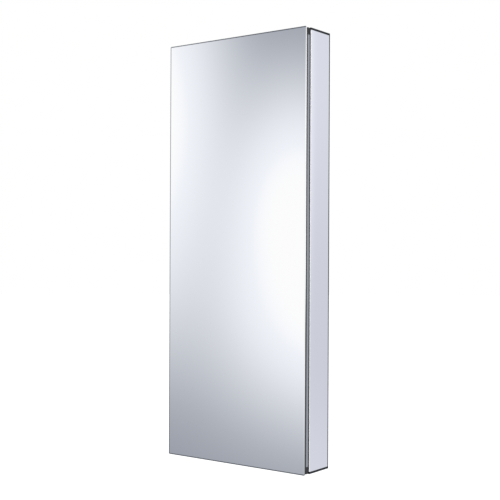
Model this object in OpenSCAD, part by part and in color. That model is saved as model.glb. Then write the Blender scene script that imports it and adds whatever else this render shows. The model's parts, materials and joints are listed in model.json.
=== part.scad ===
// Tall, slim, wall-hung medicine cabinet with a mirrored door and mirrored sides.
// The door is a sheet of mirror on an aluminium frame, hung on three concealed hinges,
// and the case is folded aluminium with glass shelves on pins.
// +Z is up, +Y points at the wall and X = 0 is the middle. The origin lies on the wall
// plane, at the centre of the four wall-screw holes.

/* [Overall] */
// Width across the door and the side mirrors
cabinet_w = 400; // [340:5:500]
// Height of the door and of the case
cabinet_h = 1000; // [900:10:1200]
// Depth from the wall to the face of the door
cabinet_d = 100; // [95:1:150]

/* [Door glass] */
// Thickness of the front mirror
door_glass_t = 4; // [3:0.5:6]
// Polished arris round the front edge of each mirror
arris = 1.5; // [0.5:0.1:2]
// Thickness of the foam tape that bonds the front mirror to the frame
tape_t = 1; // [0.5:0.1:2]
// Width of that tape
tape_w = 12; // [8:1:16]
// Thickness of the mirror on the inside of the door
rear_mirror_t = 3; // [2:0.5:4]
// Width of the gasket round the inside mirror
gasket_w = 1; // [0.5:0.1:1.5]

/* [Door frame] */
// Depth of the frame section, front to back
frame_d = 13; // [12.5:0.5:16]
// Width of the two upright members
stile_w = 30; // [29:1:40]
// Width of the top and bottom members
rail_w = 16; // [14:1:30]
// Wall of the frame section
frame_wall = 1.5; // [1:0.1:1.8]
// How far the frame is set back from the edge of the front mirror
frame_inset = 1.5; // [1:0.1:2.5]
// Width of the groove behind the edge of the front mirror
groove_w = 3; // [2:0.5:4]
// Depth of that groove
groove_d = 5; // [3:0.5:6]
// How far the black seal in the groove is set back from the frame's side
seal_set = 0.4; // [0.2:0.1:1]
// How far the inside mirror overlaps the frame's seat
seat_w = 5.5; // [4:0.5:8]
// Length of the corner connectors' plugs inside the frame
plug_len = 25; // [15:1:40]
// Gap between the door frame and the case
door_gap = 3.8; // [2.8:0.1:5]

/* [Case] */
// Thickness of the folded aluminium
wall_t = 2; // [1.2:0.1:2.5]
// Inside radius of its bends
bend_r = 1; // [0.5:0.1:1.5]
// Width of the front lip round the opening
lip_w = 10; // [8:0.5:11]
// Width of the rear lip that carries the back panel
rear_lip_w = 8; // [7:0.5:12]
// Thickness of the back panel
back_t = 2; // [1:0.1:3]
// Thickness of the mirror inside the back
back_mirror_t = 3; // [2:0.5:4]
// Thickness of the side mirrors
side_mirror_t = 4; // [3:0.5:6]
// Width of the dark strips that edge the side mirrors at the top and the bottom
trim_w = 4; // [3:0.5:8]
// Width of the dark strip along the wall
wall_trim_w = 2; // [1.5:0.5:8]
// Leg of the corner brackets inside the case
bracket_leg = 20; // [16:1:30]
// Width of the corner brackets
bracket_w = 40; // [24:1:50]
// Thickness of the corner brackets
bracket_t = 2; // [1.5:0.1:3]
// Distance of the wall screws from the sides of the cabinet
wall_screw_side = 50; // [40:5:100]
// Distance of the wall screws from its top and bottom
wall_screw_end = 60; // [50:5:150]
// Diameter of the wall-screw holes in the back panel
wall_screw_d = 6; // [4:0.5:8]
// Diameter of the holes in the back mirror that clear the wall-screw heads
head_hole_d = 14; // [10:1:20]

/* [Shelves] */
// Thickness of the glass shelves
shelf_t = 5; // [4:0.5:8]
// Gap from the front lip to the shelf
shelf_front_gap = 5; // [2:0.5:12]
// Gap from the shelf to the back mirror
shelf_back_gap = 2; // [1:0.5:8]
// Radius of the shelf's corners
shelf_corner_r = 3; // [1:0.5:8]
// Distance between the rows of shelf-pin holes
hole_pitch = 32; // [25:1:40]
// Diameter of the shelf pins and their holes
pin_d = 5; // [4:0.5:6]
// Length of a shelf pin in front of its collar
pin_reach = 8; // [6:0.5:12]
// Distance from the case's front face to the front column of pins
pin_column_front = 17; // [14:0.5:22]
// Distance from the wall to the rear column of pins
pin_column_rear = 18; // [14:0.5:24]

/* [Hinges] */
// Distance from the end of the cabinet to the upper and lower hinges
hinge_end = 120; // [100:5:150]
// Distance from the edge of the door to the hinge axis
pivot_in = 7.5; // [7:0.1:8]
// Depth of the hinge axis behind the door's rear face
pivot_depth = 7.8; // [7.4:0.1:7.9]
// Diameter of the hinge pins
hinge_pin_d = 3; // [2.5:0.1:3.2]
// Radius of the knuckle on the hinge arm
knuckle_r = 2.7; // [2.4:0.1:2.8]
// Offset of the arm's neck from the hinge axis
neck_offset = 13; // [12.5:0.1:13.5]
// Thickness of the hinge arm
arm_t = 2; // [1.5:0.1:2.2]
// Width of the neck of the arm
neck_w = 12; // [8:0.5:16]
// Width of the body of the arm
arm_w = 18; // [16:0.5:24]
// How far the arm reaches behind the door
arm_reach = 50; // [46:1:52]
// Length of the hinge cup, along the door's edge
cup_len = 36; // [32:1:44]
// Wall of the hinge cup
cup_wall = 0.8; // [0.6:0.1:0.8]
// Length of the cup's screw flange
flange_len = 64; // [60:1:80]
// Thickness of that flange
flange_t = 1.2; // [0.8:0.1:1.4]

/* [Hidden] */
$fn = 48;

// Small clearances
fit_gap = 0.15;
run_gap = 0.05;
cut = 1;

// Colours
satin_aluminium = [0.74, 0.75, 0.77];
mirror_silver = [0.86, 0.88, 0.90];
clear_glass = [0.78, 0.88, 0.86, 0.5];
dark_anodised = [0.20, 0.21, 0.22];
black_plastic = [0.09, 0.09, 0.10];
black_foam = [0.06, 0.06, 0.06];
nickel = [0.70, 0.69, 0.67];
clear_silicone = [0.85, 0.86, 0.87];

// Planes from the wall to the face of the door
back_front_y = -back_t;
rear_lip_front_y = back_front_y - wall_t;
back_mirror_front_y = back_front_y - back_mirror_t;
door_front_y = -cabinet_d;
glass_back_y = door_front_y + door_glass_t;
frame_front_y = glass_back_y + tape_t;
frame_rear_y = frame_front_y + frame_d;
case_front_y = frame_rear_y + door_gap;
lip_rear_y = case_front_y + wall_t;

// Case sizes, measured from the middle
case_half_w = cabinet_w / 2 - side_mirror_t;
inner_half_w = case_half_w - wall_t;
case_half_h = cabinet_h / 2;
inner_half_h = case_half_h - wall_t;
trim_inner_y = -wall_trim_w;
side_mirror_set = 0.4;
trim_arris = 0.5;
wall_screw_x = cabinet_w / 2 - wall_screw_side;
wall_screw_z = cabinet_h / 2 - wall_screw_end;

// Rivets in the rear lips: how far in from the outer edge, and their places along it
rivet_in = (wall_t + bend_r + rear_lip_w) / 2;
rivet_head_r = (rear_lip_w - wall_t - bend_r) / 2 - 0.1;
side_rivet_z = [-0.86, -0.52, -0.17, 0.17, 0.52, 0.86] * inner_half_h;
end_rivet_x = [-0.5, 0.5] * inner_half_w;

// Corner brackets in the middle of the depth
bracket_y = (lip_rear_y + rear_lip_front_y) / 2;
bracket_screw_y = [bracket_y - bracket_w / 4, bracket_y + bracket_w / 4];
bracket_screw_in = 0.65 * bracket_leg;

// Frame sizes
frame_half_w = cabinet_w / 2 - frame_inset;
frame_half_h = cabinet_h / 2 - frame_inset;
stile_box_w = stile_w - seat_w;
rail_box_w = rail_w - seat_w;
seat_front = frame_d - rear_mirror_t;
stile_half_h = frame_half_h - rail_w;
rail_half_w = frame_half_w - stile_w;
rear_mirror_half_w = frame_half_w - stile_box_w - gasket_w;
rear_mirror_half_h = frame_half_h - rail_box_w - gasket_w;
tape_half_w = frame_half_w - groove_w - fit_gap;
tape_half_h = frame_half_h - groove_w - fit_gap;

// Shelves and their pins
shelf_count = 4;
hinge_clear = 30;
row_end = 70;
pin_collar_r = pin_d / 2 + 1;
pin_collar_t = 1;
pin_flat = 0.6;
shelf_end_gap = 0.5;
shelf_front_y = lip_rear_y + shelf_front_gap;
shelf_rear_y = back_mirror_front_y - shelf_back_gap;
shelf_half_w = inner_half_w - pin_collar_t - shelf_end_gap;
pin_columns = [case_front_y + pin_column_front, -pin_column_rear];
last_row = floor((case_half_h - row_end) / hole_pitch);

// Hinges
hinge_z = [case_half_h - hinge_end, 0, hinge_end - case_half_h];
neck_in = pivot_in + neck_offset - arm_t / 2;
neck_out = neck_in + arm_t;
wall_in = side_mirror_t + wall_t;
cup_swing_gap = 2.1;
cup_floor = 0.5;
cup_end_wall = 1.2;
cup_floor_gap = 0.2;
cup_u0 = pivot_in - knuckle_r - cup_wall - 0.9;
cup_u1 = neck_out + cup_swing_gap + cup_wall;
cup_depth = pivot_depth + knuckle_r + cup_floor_gap + cup_floor;
flange_u0 = cup_u0 + 0.1;
flange_u1 = frame_inset + stile_box_w - 0.2;
flange_screw_z = (flange_len / 2 + cup_len / 2) / 2;
elbow_in_r = 1;
elbow_r = elbow_in_r + arm_t;
arm_gap = 3;
arm_body_start = door_gap + wall_t + arm_gap;
arm_corner_r = 2;
arm_flange_t = 1.5;
arm_flange_depth = 6.5;
plate_base_t = 1.5;
plate_base_len = 52;
plate_base_w = 18;
rail_half_z = arm_w / 2 - arm_flange_t - fit_gap;
rail_in = 3;
rail_start = arm_body_start + rail_in;
rail_end = arm_reach - rail_in;
rail_notch = 3;
rail_notch_floor = 4;
plate_screw_z = 19;
arm_screw_from_start = 7;
arm_screw_from_end = 6;
arm_screw_v = [rail_start + arm_screw_from_start, rail_end - arm_screw_from_end];
plate_screw_v = (rail_start + rail_end) / 2;
cover_t = 1;
cover_h = 3.5;
cover_r = 3;
cup_r = 3;
flange_r = 6;
spring_t = 0.6;
spring_end_gap = 1;

// Fasteners
rivet_r = 1.6;
rivet_head_t = 0.8;
small_screw_r = 1.4;
plate_screw_r = 1.7;
arm_screw_r = 1.9;
small_head_r = 2.6;
wide_head_r = 3.2;
pan_head_t = 1.8;
pan_head_slope = 0.6;
arm_screw_reach = 6;
arm_hole_reach = 7;
frame_screw_reach = 4;
plug_hole_reach = 6;
recess_w = 0.9;
recess_depth = 1.1;
bumper_r = 3.4;
bumper_in = (wall_t + bend_r + lip_w) / 2;
seat_gap = 0.3;
bumper_end = 30;
bumper_slope = 1;

// A 2D outline laid in the XZ plane and given the depth from y0 to y1.
module along_y(y0, y1) {
    translate([0, y1, 0]) rotate([90, 0, 0]) linear_extrude(y1 - y0) children();
}

// A 2D outline laid in the YZ plane and given the width from x0 to x1.
module along_x(x0, x1) {
    translate([x0, 0, 0]) rotate([90, 0, 90]) linear_extrude(x1 - x0) children();
}

// A 2D outline laid in the XY plane and given the height from z0 to z1.
module along_z(z0, z1) {
    translate([0, 0, z0]) linear_extrude(z1 - z0) children();
}

// A 2D rectangle from corner to corner.
module rect(x0, x1, y0, y1) {
    translate([x0, y0]) square([x1 - x0, y1 - y0]);
}

// A 2D rectangle from corner to corner with round corners.
module round_rect(x0, x1, y0, y1, r) {
    rect(x0 + r, x1 - r, y0, y1);
    rect(x0, x1, y0 + r, y1 - r);
    for (x = [x0 + r, x1 - r], y = [y0 + r, y1 - r])
        translate([x, y]) circle(r);
}

// A section drawn from x = 0 inwards and y to the rear, turned so that it hangs down from z = 0.
module lying() {
    rotate(-90) children();
}

// The same shape on the left and on the right.
module both_sides() {
    children();
    mirror([1, 0, 0]) children();
}

// The same shape at the top and at the bottom.
module both_ends() {
    children();
    mirror([0, 0, 1]) children();
}

// A sheet of glass with its face at y = 0, its back at y = t and an arris round the face.
module pane(w, h, t, c) {
    intersection() {
        along_z(-h / 2, h / 2)
            polygon([[c - w / 2, 0], [w / 2 - c, 0], [w / 2, c], [w / 2, t], [-w / 2, t], [-w / 2, c]]);
        along_x(-w / 2, w / 2)
            polygon([[0, c - h / 2], [0, h / 2 - c], [c, h / 2], [t, h / 2], [t, -h / 2], [c, -h / 2]]);
    }
}

// A pan-head screw on +Z with a cross recess. Its head sits on z = 0.
module pan_screw(r, len, head_r) {
    difference() {
        union() {
            translate([0, 0, -len]) cylinder(r = r, h = len);
            cylinder(r = head_r, h = pan_head_t - pan_head_slope);
            translate([0, 0, pan_head_t - pan_head_slope])
                cylinder(r1 = head_r, r2 = head_r - pan_head_slope, h = pan_head_slope);
        }
        for (a = [0, 90])
            rotate([0, 0, a])
                translate([-head_r * 0.6, -recess_w / 2, pan_head_t - recess_depth])
                    cube([head_r * 1.2, recess_w, recess_depth + cut]);
    }
}

// A countersunk screw on +Z with a cross recess. Its head is flush with z = 0.
module flush_screw(r, len, head_t) {
    head_r = r + head_t;
    difference() {
        union() {
            translate([0, 0, -len]) cylinder(r = r, h = len);
            translate([0, 0, -head_t]) cylinder(r1 = r, r2 = head_r, h = head_t);
        }
        for (a = [0, 90])
            rotate([0, 0, a])
                translate([-r * 1.1, -recess_w / 2, -head_t * 0.8]) cube([r * 2.2, recess_w, head_t + cut]);
    }
}

// The hole that a flush screw sits in.
module flush_hole(r, len, head_t) {
    translate([0, 0, -len - cut]) cylinder(r = r, h = len + 2 * cut);
    translate([0, 0, -head_t]) cylinder(r1 = r, r2 = r + head_t, h = head_t);
    translate([0, 0, -0.001]) cylinder(r = r + head_t, h = cut);
}

// Case

// A block that starts at x = x0, with round corners there.
module bent_block(x0, y0, y1, r) {
    rect(x0 + r, x0 + 2 * lip_w, y0, y1);
    rect(x0, x0 + lip_w, y0 + r, y1 - r);
    for (y = [y0 + r, y1 - r])
        translate([x0 + r, y]) circle(r);
}

// Section of a folded panel: its face at x = 0, a lip at the front and a lip at the rear.
module panel_section() {
    intersection() {
        difference() {
            bent_block(0, case_front_y, back_front_y, bend_r + wall_t);
            bent_block(wall_t, lip_rear_y, rear_lip_front_y, bend_r);
        }
        union() {
            rect(0, lip_w, case_front_y, bracket_y);
            rect(0, rear_lip_w, bracket_y, back_front_y);
        }
    }
}

// What the mitre at the top left corner takes off the side wall's lips, or else off the top panel's.
module mitre_cut(of_wall) {
    w = lip_w + cut;
    mitre = [[wall_t, inner_half_h], [w, case_half_h - w]];
    along_y(case_front_y - cut, back_front_y + cut)
        if (of_wall)
            polygon([mitre[0], mitre[1], [w, case_half_h], [wall_t, case_half_h]]);
        else
            polygon([mitre[0], mitre[1], [-cut, case_half_h - w], [-cut, inner_half_h]]);
}

// The rows of shelf-pin holes, leaving out those behind a hinge.
function rows() = [
    for (k = [-last_row:last_row])
        let (z = k * hole_pitch)
            if (min([for (h = hinge_z) abs(z - h)]) > hinge_clear) z
];

// The row that carries a shelf: the one nearest to an even division of the height.
function shelf_row(i) =
    round(((i + 1) / (shelf_count + 1) - 0.5) * 2 * inner_half_h / hole_pitch) * hole_pitch;

// The left side wall of the case.
module side_wall_shape() {
    translate([-case_half_w, 0, 0])
        difference() {
            along_z(-inner_half_h, inner_half_h) panel_section();
            both_ends() mitre_cut(true);
            for (y = pin_columns, z = rows())
                translate([-cut, y, z]) rotate([0, 90, 0]) cylinder(d = pin_d, h = wall_t + 2 * cut);
            side_rivet_places() cylinder(r = rivet_r, h = wall_t + 2 * cut, center = true);
            bracket_screw_places(true)
                cylinder(r = small_screw_r, h = 4 * wall_t, center = true);
        }
}

module side_wall_left() {
    color(satin_aluminium)
        difference() {
            side_wall_shape();
            plate_screw_places() cylinder(r = plate_screw_r, h = 4 * wall_t, center = true);
        }
}

module side_wall_right() {
    color(satin_aluminium) mirror([1, 0, 0]) side_wall_shape();
}

// Places of the rivets in a side lip, from the outer edge of the left wall.
module side_rivet_places() {
    for (z = side_rivet_z)
        translate([rivet_in, rear_lip_front_y + wall_t / 2, z]) rotate([90, 0, 0]) children();
}

// Places of the rivets in the top panel's rear lip.
module top_rivet_places() {
    for (x = end_rivet_x)
        translate([x, rear_lip_front_y + wall_t / 2, case_half_h - rivet_in]) rotate([90, 0, 0]) children();
}

// Screws of the corner brackets, on the wall leg or the end leg, for the top left corner and its mirror.
module bracket_screw_places(at_wall) {
    for (y = bracket_screw_y, s = [-1, 1])
        if (at_wall)
            translate([wall_t, y, s * (inner_half_h - bracket_screw_in)]) rotate([0, 90, 0]) children();
        else
            translate([s * (inner_half_w - bracket_screw_in), y, inner_half_h])
                rotate([180, 0, 0]) children();
}

// The top panel: a folded channel whose lips meet the side walls' lips in mitres.
module end_panel_shape() {
    difference() {
        translate([0, 0, case_half_h]) along_x(-case_half_w, case_half_w)
            lying() panel_section();
        both_sides() translate([-case_half_w, 0, 0]) mitre_cut(false);
        top_rivet_places() cylinder(r = rivet_r, h = wall_t + 2 * cut, center = true);
        bracket_screw_places(false) cylinder(r = small_screw_r, h = 4 * wall_t, center = true);
    }
}

module top_panel() {
    color(satin_aluminium) end_panel_shape();
}

module bottom_panel() {
    color(satin_aluminium) mirror([0, 0, 1]) end_panel_shape();
}

// The flat back, riveted to the rear lips, with the four wall-screw holes.
module back_panel() {
    color(satin_aluminium)
        difference() {
            along_y(back_front_y, 0) rect(-case_half_w, case_half_w, -case_half_h, case_half_h);
            for (x = [-1, 1], z = [-1, 1])
                translate([x * wall_screw_x, 0, z * wall_screw_z]) rotate([90, 0, 0])
                    cylinder(d = wall_screw_d, h = 4 * back_t, center = true);
            both_sides() translate([-case_half_w, 0, 0])
                side_rivet_places() cylinder(r = rivet_r, h = 6 * wall_t, center = true);
            both_ends() top_rivet_places() cylinder(r = rivet_r, h = 6 * wall_t, center = true);
        }
}

// The mirror inside the back, between the rear lips.
module back_mirror() {
    edge = rear_lip_w + 2 * fit_gap;
    color(mirror_silver)
        difference() {
            translate([0, back_mirror_front_y, 0])
                pane(2 * (case_half_w - edge), 2 * (case_half_h - edge), back_mirror_t, arris / 2);
            for (x = [-1, 1], z = [-1, 1])
                translate([x * wall_screw_x, back_mirror_front_y, z * wall_screw_z]) rotate([90, 0, 0])
                    cylinder(d = head_hole_d, h = 4 * back_mirror_t, center = true);
        }
}

module back_rivets() {
    color(nickel) {
        both_sides() translate([-case_half_w, 0, 0]) side_rivet_places() rivet();
        both_ends() top_rivet_places() rivet();
    }
}

// A rivet on +Z with its head on the front of a lip that is centred on z = 0.
module rivet() {
    translate([0, 0, -wall_t / 2 - back_t]) cylinder(r = rivet_r, h = wall_t + back_t);
    translate([0, 0, wall_t / 2]) cylinder(r1 = rivet_head_r, r2 = rivet_head_r - 0.5, h = rivet_head_t);
}

// The mirror on one side, set a little below the strips that edge it.
module side_mirror_shape() {
    depth = trim_inner_y - case_front_y;
    translate([-cabinet_w / 2 + side_mirror_set, (trim_inner_y + case_front_y) / 2, 0])
        rotate([0, 0, -90])
            pane(depth, 2 * (case_half_h - trim_w), side_mirror_t - side_mirror_set, arris);
}

module side_mirror_left() {
    color(mirror_silver) side_mirror_shape();
}

module side_mirror_right() {
    color(mirror_silver) mirror([1, 0, 0]) side_mirror_shape();
}

// Three dark strips that edge a side mirror at the top, the bottom and the wall.
module side_trim_shape() {
    edge = trim_arris;
    translate([-cabinet_w / 2, 0, 0]) {
        along_z(-case_half_h, case_half_h)
            polygon([[edge, trim_inner_y], [side_mirror_t, trim_inner_y], [side_mirror_t, 0], [0, 0],
                     [0, trim_inner_y + edge]]);
        both_ends()
            translate([0, 0, case_half_h - trim_w])
                along_y(case_front_y, trim_inner_y)
                    polygon([[0, edge], [edge, 0], [side_mirror_t, 0], [side_mirror_t, trim_w],
                             [edge, trim_w], [0, trim_w - edge]]);
    }
}

module side_trim_left() {
    color(dark_anodised) side_trim_shape();
}

module side_trim_right() {
    color(dark_anodised) mirror([1, 0, 0]) side_trim_shape();
}

// The angle bracket in the top left corner, with a rounded inside corner.
module corner_bracket_shape() {
    r = bracket_t;
    difference() {
        translate([-inner_half_w, 0, inner_half_h])
            along_y(bracket_y - bracket_w / 2, bracket_y + bracket_w / 2)
                difference() {
                    rect(0, bracket_leg, -bracket_leg, 0);
                    rect(bracket_t + r, bracket_leg + cut, -bracket_leg - cut, -bracket_t);
                    rect(bracket_t, bracket_t + 2 * r, -bracket_leg - cut, -bracket_t - r);
                    translate([bracket_t + r, -bracket_t - r]) circle(r);
                }
        translate([-case_half_w, 0, 0])
            bracket_screw_places(true) cylinder(r = small_screw_r, h = 3 * bracket_t);
        bracket_screw_places(false) cylinder(r = small_screw_r, h = 3 * bracket_t);
    }
}

module corner_bracket(right, bottom) {
    color(nickel)
        mirror([right ? 1 : 0, 0, 0]) mirror([0, 0, bottom ? 1 : 0]) corner_bracket_shape();
}

module corner_bracket_top_left() { corner_bracket(false, false); }
module corner_bracket_top_right() { corner_bracket(true, false); }
module corner_bracket_bottom_left() { corner_bracket(false, true); }
module corner_bracket_bottom_right() { corner_bracket(true, true); }

module bracket_screws() {
    len = wall_t + bracket_t - 2 * fit_gap;
    color(nickel) {
        both_sides() translate([-case_half_w, 0, 0])
            bracket_screw_places(true)
                translate([0, 0, bracket_t]) pan_screw(small_screw_r, len, small_head_r);
        both_ends()
            bracket_screw_places(false)
                translate([0, 0, bracket_t]) pan_screw(small_screw_r, len, small_head_r);
    }
}

// Shelves

module glass_shelf(i) {
    z = shelf_row(i) + pin_d / 2 - pin_flat;
    color(clear_glass)
        along_z(z, z + shelf_t)
            round_rect(-shelf_half_w, shelf_half_w, shelf_front_y, shelf_rear_y, shelf_corner_r);
}

module glass_shelf_1() { glass_shelf(0); }
module glass_shelf_2() { glass_shelf(1); }
module glass_shelf_3() { glass_shelf(2); }
module glass_shelf_4() { glass_shelf(3); }

// A pin in the left wall: a stub in the hole, a collar, and a peg with a flat for the glass.
module shelf_pin() {
    difference() {
        rotate([0, 90, 0]) {
            translate([0, 0, -wall_t + fit_gap]) cylinder(d = pin_d, h = wall_t + pin_reach);
            cylinder(r = pin_collar_r, h = pin_collar_t);
        }
        translate([pin_collar_t, -pin_d, pin_d / 2 - pin_flat]) cube([pin_reach + cut, 2 * pin_d, pin_d]);
    }
}

module shelf_pins() {
    color(nickel)
        both_sides()
            for (i = [0:shelf_count - 1], y = pin_columns)
                translate([-inner_half_w, y, shelf_row(i)]) shelf_pin();
}

// Soft dots on the front lip that the door closes against, at the side away from the hinges.
module door_bumpers() {
    t = door_gap - seat_gap;
    color(clear_silicone)
        for (z = [bumper_end - case_half_h, 0, case_half_h - bumper_end])
            translate([case_half_w - bumper_in, case_front_y, z]) rotate([90, 0, 0]) {
                cylinder(r = bumper_r, h = t - bumper_slope);
                translate([0, 0, t - bumper_slope])
                    cylinder(r1 = bumper_r, r2 = bumper_r - bumper_slope, h = bumper_slope);
            }
}

// Hinges. Each is drawn in plan: u runs inwards from the edge of the door, v from its rear face to the wall.

module at_hinge(i) {
    translate([-cabinet_w / 2, frame_rear_y, hinge_z[i]]) children();
}

module at_hinges() {
    for (i = [0:2]) at_hinge(i) children();
}

// Places of the two screws that fix each plate to the wall, with +Z pointing into the case.
module plate_screw_places() {
    at_hinges()
        for (s = [-1, 1])
            translate([wall_in, plate_screw_v, s * plate_screw_z]) rotate([0, 90, 0]) children();
}

// Places of the two screws on each arm.
module arm_screw_places(u) {
    at_hinges()
        for (v = arm_screw_v)
            translate([u, v, 0]) rotate([0, 90, 0]) children();
}

// The plate on the side wall: a winged base and a rail that the arm sits over.
module hinge_plate(i) {
    wing_r = 5;
    color(nickel)
        difference() {
            at_hinge(i) {
                along_x(wall_in, wall_in + plate_base_t)
                    round_rect(plate_screw_v - plate_base_w / 2, plate_screw_v + plate_base_w / 2,
                               -plate_base_len / 2, plate_base_len / 2, wing_r);
                along_z(-rail_half_z, rail_half_z)
                    difference() {
                        rect(wall_in, neck_in - seat_gap, rail_start, rail_end);
                        rect(wall_in + rail_notch_floor, neck_in - seat_gap - rail_notch,
                             rail_start - cut, rail_start + rail_notch);
                    }
            }
            plate_screw_places() cylinder(r = plate_screw_r, h = 3 * plate_base_t);
            arm_screw_places(neck_out)
                translate([0, 0, -arm_t - arm_hole_reach]) cylinder(r = arm_screw_r, h = 2 * arm_hole_reach);
        }
}

module hinge_plate_upper() { hinge_plate(0); }
module hinge_plate_middle() { hinge_plate(1); }
module hinge_plate_lower() { hinge_plate(2); }

// Plan of the neck: a knuckle round the pin, a reach into the cup, an elbow and the way back to the case.
module neck_plan() {
    difference() {
        union() {
            translate([pivot_in, -pivot_depth]) circle(knuckle_r);
            rect(pivot_in, neck_out - elbow_r, -pivot_depth - arm_t / 2, -pivot_depth + arm_t / 2);
            translate([neck_out - elbow_r, elbow_r - pivot_depth - arm_t / 2])
                intersection() {
                    difference() {
                        circle(elbow_r);
                        circle(elbow_r - arm_t);
                    }
                    rect(0, elbow_r + cut, -elbow_r - cut, 0);
                }
            rect(neck_in, neck_out, elbow_r - pivot_depth - arm_t / 2, arm_body_start + arm_t);
        }
        translate([pivot_in, -pivot_depth]) circle(hinge_pin_d / 2 + run_gap);
    }
}

// The arm: the neck that reaches into the cup, and a channel over the plate's rail.
module hinge_arm(i) {
    color(nickel)
        difference() {
            at_hinge(i) {
                along_z(-neck_w / 2, neck_w / 2) neck_plan();
                along_x(neck_in, neck_out)
                    round_rect(arm_body_start, arm_reach, -arm_w / 2, arm_w / 2, arm_corner_r);
                for (s = [-1, 1])
                    translate([0, 0, s * (arm_w - arm_flange_t) / 2])
                        along_z(-arm_flange_t / 2, arm_flange_t / 2)
                            rect(neck_in - arm_flange_depth, neck_in + fit_gap,
                                 arm_body_start + arm_corner_r, arm_reach - arm_corner_r);
            }
            arm_screw_places(neck_out)
                translate([0, 0, -3 * arm_t]) cylinder(r = arm_screw_r, h = 4 * arm_t);
        }
}

module hinge_arm_upper() { hinge_arm(0); }
module hinge_arm_middle() { hinge_arm(1); }
module hinge_arm_lower() { hinge_arm(2); }

// The plain cap over the screws of the arm.
module hinge_cover(i) {
    v0 = rail_start;
    v1 = rail_end;
    color(nickel)
        at_hinge(i)
            difference() {
                along_x(neck_out, neck_out + cover_h)
                    round_rect(v0, v1, -arm_w / 2, arm_w / 2, cover_r);
                along_x(neck_out - cut, neck_out + cover_h - cover_t)
                    round_rect(v0 + cover_t, v1 - cover_t, cover_t - arm_w / 2, arm_w / 2 - cover_t,
                               cover_r - cover_t);
            }
}

module hinge_cover_upper() { hinge_cover(0); }
module hinge_cover_middle() { hinge_cover(1); }
module hinge_cover_lower() { hinge_cover(2); }

module hinge_plate_screws() {
    color(nickel)
        plate_screw_places()
            translate([0, 0, plate_base_t])
                pan_screw(plate_screw_r, plate_base_t + wall_t - fit_gap, wide_head_r);
}

module hinge_arm_screws() {
    color(nickel)
        arm_screw_places(neck_out) pan_screw(arm_screw_r, arm_t + arm_screw_reach, wide_head_r);
}

// The cup that is let into the door frame, with a flange for its two screws.
module hinge_cup(i) {
    color(nickel)
        difference() {
            at_hinge(i) {
                along_y(-cup_depth, 0) round_rect(cup_u0, cup_u1, -cup_len / 2, cup_len / 2, cup_r);
                along_y(0, flange_t)
                    round_rect(flange_u0, flange_u1, -flange_len / 2, flange_len / 2, flange_r);
            }
            at_hinge(i) {
                along_y(cup_floor - cup_depth, flange_t + cut)
                    round_rect(cup_u0 + cup_wall, cup_u1 - cup_wall,
                               cup_end_wall - cup_len / 2, cup_len / 2 - cup_end_wall, cup_r - cup_wall);
                translate([pivot_in, -pivot_depth, -cup_len]) cylinder(d = hinge_pin_d, h = 2 * cup_len);
            }
            cup_screw_places() flush_hole(small_screw_r, 2 * flange_t, flange_t * 0.9);
        }
}

// Places of the screws in the cups' flanges, with +Z pointing at the wall.
module cup_screw_places() {
    at_hinges()
        for (s = [-1, 1])
            translate([(flange_u0 + flange_u1) / 2, flange_t, s * flange_screw_z])
                rotate([-90, 0, 0]) children();
}

module hinge_cup_upper() { hinge_cup(0); }
module hinge_cup_middle() { hinge_cup(1); }
module hinge_cup_lower() { hinge_cup(2); }

module hinge_pins() {
    len = cup_len - 2 * fit_gap;
    color(nickel)
        at_hinges()
            translate([pivot_in, -pivot_depth, -len / 2]) cylinder(d = hinge_pin_d, h = len);
}

// The closing springs: strips wrapped round the pin on each side of the knuckle, with a leg along the cup.
module hinge_springs() {
    r = hinge_pin_d / 2 + run_gap;
    z0 = neck_w / 2 + spring_end_gap;
    z1 = cup_len / 2 - cup_end_wall - spring_end_gap;
    color(nickel)
        at_hinges()
            both_ends()
                along_z(z0, z1)
                    translate([pivot_in, -pivot_depth]) {
                        difference() {
                            circle(r + spring_t);
                            circle(r);
                            rect(0, 2 * r, 0, 2 * r);
                        }
                        rect(0, neck_offset - 2 * spring_end_gap, -r - spring_t, -r);
                    }
}

module hinge_cup_screws() {
    color(nickel)
        cup_screw_places()
            flush_screw(small_screw_r, flange_t + frame_wall + frame_screw_reach, flange_t * 0.9);
}

// Door

module door_mirror() {
    color(mirror_silver)
        translate([0, door_front_y, 0]) pane(cabinet_w, cabinet_h, door_glass_t, arris);
}

// Four flat strips along the edges of a rectangle, w wide and with a small gap at each corner.
module edge_strips(half_w, half_h, w, y0, y1) {
    both_sides() along_y(y0, y1) rect(half_w - w, half_w, -half_h, half_h);
    end_half_w = half_w - w - fit_gap;
    both_ends() along_y(y0, y1) rect(-end_half_w, end_half_w, half_h - w, half_h);
}

// The foam tape that holds the front mirror on the frame.
module bond_tape() {
    color(black_foam) edge_strips(tape_half_w, tape_half_h, tape_w, glass_back_y, frame_front_y);
}

// The black seal that fills the groove behind the edge of the glass and goes round the hinge cups.
module edge_seal() {
    color(black_foam)
        difference() {
            edge_strips(frame_half_w - seal_set, frame_half_h - seal_set, groove_w - seal_set,
                        glass_back_y, frame_front_y + groove_d);
            cup_pockets();
        }
}

// The pockets that the hinge cups are let into.
module cup_pockets() {
    at_hinges()
        along_y(-cup_depth - fit_gap, cut)
            round_rect(cup_u0 - fit_gap, cup_u1 + fit_gap,
                       -cup_len / 2 - fit_gap, cup_len / 2 + fit_gap, cup_r + fit_gap);
}

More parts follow.
